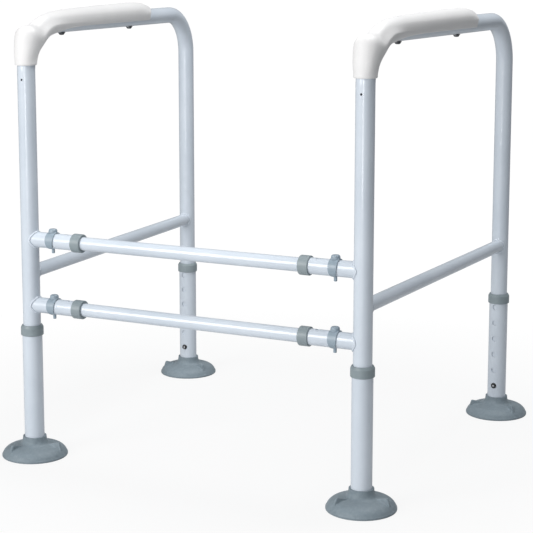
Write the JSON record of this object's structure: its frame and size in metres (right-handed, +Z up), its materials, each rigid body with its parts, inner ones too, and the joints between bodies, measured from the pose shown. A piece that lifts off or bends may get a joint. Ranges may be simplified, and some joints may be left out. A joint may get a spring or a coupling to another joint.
{
  "type": "toilet safety frame",
  "caption": "Free-standing toilet safety frame: bent tube side frames with armrests, telescoping front crossbars with snap clips, button-adjustable legs and flared rubber feet.",
  "frame": {"origin": "centre of the bounding box on the floor, under the middle of the four feet", "axes": "+Z up, +X to the right seen from the front, -Y towards the front where the crossbars and the turned-down armrest ends are"},
  "size_m": [0.656, 0.5968, 0.6477],
  "materials": {
    "powder_coat": "light blue-grey gloss powder coat on steel tube",
    "armrest_foam": "off-white satin moulded cover",
    "grey_plastic": "grey moulded plastic",
    "clip_plastic": "blue-grey moulded plastic",
    "foot_rubber": "matte grey rubber",
    "button_steel": "black oxide steel with a bright tip",
    "spring_steel": "plain spring steel",
    "screw_steel": "zinc plated steel"
  },
  "bodies": {
    "crossbars": {"crossbar_upper": "powder_coat", "crossbar_lower": "powder_coat", "crossbar_plugs": "grey_plastic"},
    "left_frame": {"side_tube_left": "powder_coat", "side_brace_left": "powder_coat", "brace_welds_left": "powder_coat", "stub_welds_left": "powder_coat", "crossbar_stub_upper_left": "powder_coat", "crossbar_stub_lower_left": "powder_coat", "stub_collar_upper_left": "grey_plastic", "stub_collar_lower_left": "grey_plastic", "armrest_left": "armrest_foam", "armrest_screws_left": "screw_steel", "button_spring_front_left": "spring_steel", "button_spring_rear_left": "spring_steel"},
    "clip_upper_left": {"snap_clip_upper_left": "clip_plastic"},
    "clip_lower_left": {"snap_clip_lower_left": "clip_plastic"},
    "leg_front_left": {"lower_leg_front_left": "powder_coat", "leg_collar_front_left": "grey_plastic", "rubber_foot_front_left": "foot_rubber", "foot_washer_front_left": "spring_steel"},
    "button_front_left": {"snap_button_front_left": "button_steel"},
    "leg_rear_left": {"lower_leg_rear_left": "powder_coat", "leg_collar_rear_left": "grey_plastic", "rubber_foot_rear_left": "foot_rubber", "foot_washer_rear_left": "spring_steel"},
    "button_rear_left": {"snap_button_rear_left": "button_steel"},
    "right_frame": {"side_tube_right": "powder_coat", "side_brace_right": "powder_coat", "brace_welds_right": "powder_coat", "stub_welds_right": "powder_coat", "crossbar_stub_upper_right": "powder_coat", "crossbar_stub_lower_right": "powder_coat", "stub_collar_upper_right": "grey_plastic", "stub_collar_lower_right": "grey_plastic", "armrest_right": "armrest_foam", "armrest_screws_right": "screw_steel", "button_spring_front_right": "spring_steel", "button_spring_rear_right": "spring_steel"},
    "clip_upper_right": {"snap_clip_upper_right": "clip_plastic"},
    "clip_lower_right": {"snap_clip_lower_right": "clip_plastic"},
    "leg_front_right": {"lower_leg_front_right": "powder_coat", "leg_collar_front_right": "grey_plastic", "rubber_foot_front_right": "foot_rubber", "foot_washer_front_right": "spring_steel"},
    "button_front_right": {"snap_button_front_right": "button_steel"},
    "leg_rear_right": {"lower_leg_rear_right": "powder_coat", "leg_collar_rear_right": "grey_plastic", "rubber_foot_rear_right": "foot_rubber", "foot_washer_rear_right": "spring_steel"},
    "button_rear_right": {"snap_button_rear_right": "button_steel"}
  },
  "joints": [
    {"name": "width_slide_left", "type": "slide", "parent": "crossbars", "child": "left_frame", "axis": [-1, 0, 0], "range_m": [0, 0.0254]},
    {"name": "clip_pull_upper_left", "type": "slide", "parent": "left_frame", "child": "clip_upper_left", "axis": [0, 0, 1], "range_m": [0, 0.045], "deforming": ["snap_clip_upper_left"]},
    {"name": "clip_pull_lower_left", "type": "slide", "parent": "left_frame", "child": "clip_lower_left", "axis": [0, 0, 1], "range_m": [0, 0.045], "deforming": ["snap_clip_lower_left"]},
    {"name": "height_slide_front_left", "type": "slide", "parent": "left_frame", "child": "leg_front_left", "axis": [0, 0, -1], "range_m": [0, 0.127], "deforming": ["snap_button_front_left"]},
    {"name": "button_press_front_left", "type": "slide", "parent": "left_frame", "child": "button_front_left", "axis": [0.0436, -0.999, 0], "range_m": [0, 0.0038], "stiffness_N_per_m": 1500, "springref_m": -0.001, "deforming": ["button_spring_front_left"]},
    {"name": "height_slide_rear_left", "type": "slide", "parent": "left_frame", "child": "leg_rear_left", "axis": [0, 0, -1], "range_m": [0, 0.127], "deforming": ["snap_button_rear_left"]},
    {"name": "button_press_rear_left", "type": "slide", "parent": "left_frame", "child": "button_rear_left", "axis": [-0.0436, 0.999, 0], "range_m": [0, 0.0038], "stiffness_N_per_m": 1500, "springref_m": -0.001, "deforming": ["button_spring_rear_left"]},
    {"name": "width_slide_right", "type": "slide", "parent": "crossbars", "child": "right_frame", "axis": [1, 0, 0], "range_m": [0, 0.0254]},
    {"name": "clip_pull_upper_right", "type": "slide", "parent": "right_frame", "child": "clip_upper_right", "axis": [0, 0, 1], "range_m": [0, 0.045], "deforming": ["snap_clip_upper_right"]},
    {"name": "clip_pull_lower_right", "type": "slide", "parent": "right_frame", "child": "clip_lower_right", "axis": [0, 0, 1], "range_m": [0, 0.045], "deforming": ["snap_clip_lower_right"]},
    {"name": "height_slide_front_right", "type": "slide", "parent": "right_frame", "child": "leg_front_right", "axis": [0, 0, -1], "range_m": [0, 0.127], "deforming": ["snap_button_front_right"]},
    {"name": "button_press_front_right", "type": "slide", "parent": "right_frame", "child": "button_front_right", "axis": [-0.0436, -0.999, 0], "range_m": [0, 0.0038], "stiffness_N_per_m": 1500, "springref_m": -0.001, "deforming": ["button_spring_front_right"]},
    {"name": "height_slide_rear_right", "type": "slide", "parent": "right_frame", "child": "leg_rear_right", "axis": [0, 0, -1], "range_m": [0, 0.127], "deforming": ["snap_button_rear_right"]},
    {"name": "button_press_rear_right", "type": "slide", "parent": "right_frame", "child": "button_rear_right", "axis": [0.0436, 0.999, 0], "range_m": [0, 0.0038], "stiffness_N_per_m": 1500, "springref_m": -0.001, "deforming": ["button_spring_rear_right"]}
  ]
}
